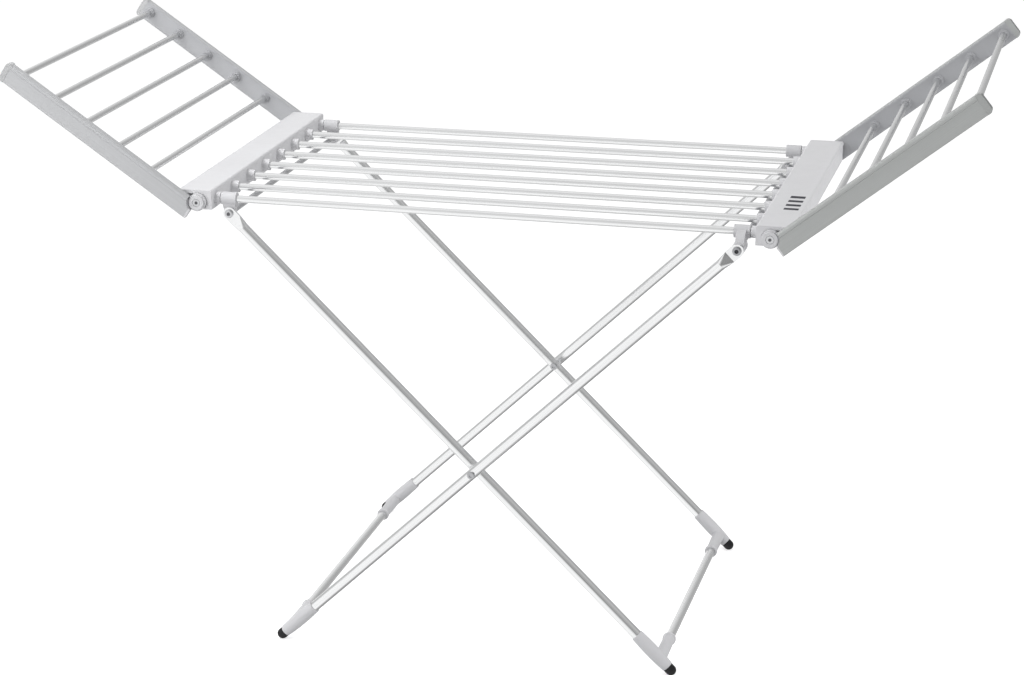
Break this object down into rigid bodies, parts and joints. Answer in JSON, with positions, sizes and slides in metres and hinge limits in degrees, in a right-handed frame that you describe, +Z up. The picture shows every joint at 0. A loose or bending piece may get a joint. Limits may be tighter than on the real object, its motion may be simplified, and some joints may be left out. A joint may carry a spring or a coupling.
{
  "type": "portable clothes dryer",
  "caption": "Folding heated clothes airer: bar rack between two end boxes, raised hinged wings, crossed tube legs.",
  "frame": {"origin": "on the ground under the middle of the rack", "axes": "+X along the rack bars to the end box with the mains cord inlet, +Y to the back, +Z up"},
  "size_m": [1.3557, 0.5666, 0.8475],
  "materials": {
    "housing": "fine moulded light grey",
    "fitting": "moulded mid grey",
    "bar_tube": "satin drawn tube",
    "rail": "satin silver-grey extrusion",
    "leg_tube": "satin drawn tube",
    "screw_steel": "zinc plated",
    "washer": "smooth",
    "rubber": "matt black",
    "cord_sheath": "silicone sheath",
    "switch_black": "semi-gloss black"
  },
  "bodies": {
    "rack": {"box_base_left": "housing", "box_base_right": "housing", "box_cover_left": "housing", "box_cover_right": "housing", "cover_screws": "screw_steel", "hinge_screws": "screw_steel", "rack_bar_1": "bar_tube", "rack_bar_2": "bar_tube", "rack_bar_3": "bar_tube", "rack_bar_4": "bar_tube", "rack_bar_5": "bar_tube", "rack_bar_6": "bar_tube", "rack_bar_7": "bar_tube", "rack_bar_8": "bar_tube", "heater_rack": "cord_sheath", "terminal_block": "housing", "thermal_cutout": "screw_steel", "cord_inlet": "fitting", "switch_body": "switch_black", "bracket_fixed": "fitting", "pivot_rod_left": "screw_steel"},
    "rocker": {"switch_rocker": "switch_black"},
    "wing_left": {"wing_left_rail_front": "rail", "wing_left_rail_back": "rail", "wing_left_bar_1": "bar_tube", "wing_left_bar_2": "bar_tube", "wing_left_bar_3": "bar_tube", "wing_left_bar_4": "bar_tube", "wing_left_bar_5": "bar_tube", "wing_left_plugs": "housing", "wing_left_caps": "fitting", "wing_left_bushes": "fitting", "wing_left_heater": "cord_sheath"},
    "wing_right": {"wing_right_rail_front": "rail", "wing_right_rail_back": "rail", "wing_right_bar_1": "bar_tube", "wing_right_bar_2": "bar_tube", "wing_right_bar_3": "bar_tube", "wing_right_bar_4": "bar_tube", "wing_right_bar_5": "bar_tube", "wing_right_plugs": "housing", "wing_right_caps": "fitting", "wing_right_bushes": "fitting", "wing_right_heater": "cord_sheath"},
    "inner_legs": {"leg_inner_front": "leg_tube", "leg_inner_back": "leg_tube", "leg_inner_cross_tube": "leg_tube", "leg_inner_fittings": "fitting", "leg_inner_tips": "rubber", "crossing_rivets": "screw_steel", "crossing_spacers": "washer"},
    "outer_legs": {"leg_outer_front": "leg_tube", "leg_outer_back": "leg_tube", "leg_outer_cross_tube": "leg_tube", "leg_outer_fittings": "fitting", "leg_outer_tips": "rubber"},
    "sliders": {"bracket_sliding": "fitting", "pivot_rod_right": "screw_steel"}
  },
  "joints": [
    {"name": "leg_fold", "type": "hinge", "parent": "rack", "child": "inner_legs", "pos_m": [-0.356, 0, 0.62325], "axis": [0, 1, 0], "range_deg": [0, 42]},
    {"name": "leg_crossing", "type": "hinge", "parent": "inner_legs", "child": "outer_legs", "pos_m": [0, 0, 0.27931], "axis": [0, 1, 0], "range_deg": [-84, 0]},
    {"name": "slider_pivot", "type": "hinge", "parent": "outer_legs", "child": "sliders", "pos_m": [0.356, 0, 0.62325], "axis": [0, 1, 0], "range_deg": [0, 42]},
    {"name": "wing_left_hinge", "type": "hinge", "parent": "rack", "child": "wing_left", "pos_m": [-0.398, 0, 0.64025], "axis": [0, -1, 0], "range_deg": [0, 124]},
    {"name": "wing_right_hinge", "type": "hinge", "parent": "rack", "child": "wing_right", "pos_m": [0.398, 0, 0.64025], "axis": [0, 1, 0], "range_deg": [0, 129]},
    {"name": "switch_rock", "type": "hinge", "parent": "rack", "child": "rocker", "pos_m": [0.403, -0.1539, 0.63275], "axis": [1, 0, 0], "range_deg": [0, 12]}
  ],
  "couplings": [
    {"joint": "leg_crossing", "follows": "leg_fold", "ratio": -2},
    {"joint": "slider_pivot", "follows": "leg_fold", "ratio": 1}
  ]
}
